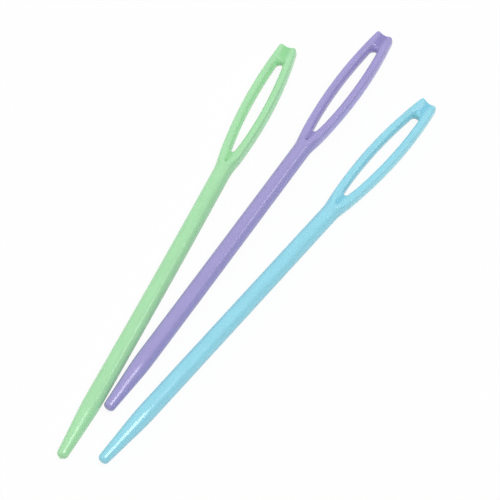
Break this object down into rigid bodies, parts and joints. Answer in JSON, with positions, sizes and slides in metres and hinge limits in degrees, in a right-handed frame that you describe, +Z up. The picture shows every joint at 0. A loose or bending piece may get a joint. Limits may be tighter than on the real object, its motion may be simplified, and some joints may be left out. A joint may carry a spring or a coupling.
{
  "type": "yarn needle set",
  "caption": "Blunt moulded plastic yarn needles, each with a round shaft, a soft tapered tip and a long bowed open eye that ends in a grooved, notched head, lying loose side by side.",
  "frame": {"origin": "bottom centre of the box round the needles, on the table that they lie on", "axes": "+Z up from the table, +Y the way the heads point, along the needles' mean direction, +X to the right"},
  "size_m": [0.0504, 0.0668, 0.0025],
  "materials": {
    "green_plastic": "smooth moulded, glossy, pastel green",
    "purple_plastic": "smooth moulded, glossy, pastel purple",
    "blue_plastic": "smooth moulded, glossy, pastel blue"
  },
  "bodies": {
    "purple": {"purple_needle": "purple_plastic"},
    "green": {"green_needle": "green_plastic"},
    "blue": {"blue_needle": "blue_plastic"}
  },
  "joints": [
    {"name": "green_lift", "type": "slide", "parent": "purple", "child": "green", "axis": [0, 0, 1], "range_m": [0, 0.03]},
    {"name": "blue_lift", "type": "slide", "parent": "purple", "child": "blue", "axis": [0, 0, 1], "range_m": [0, 0.03]}
  ]
}
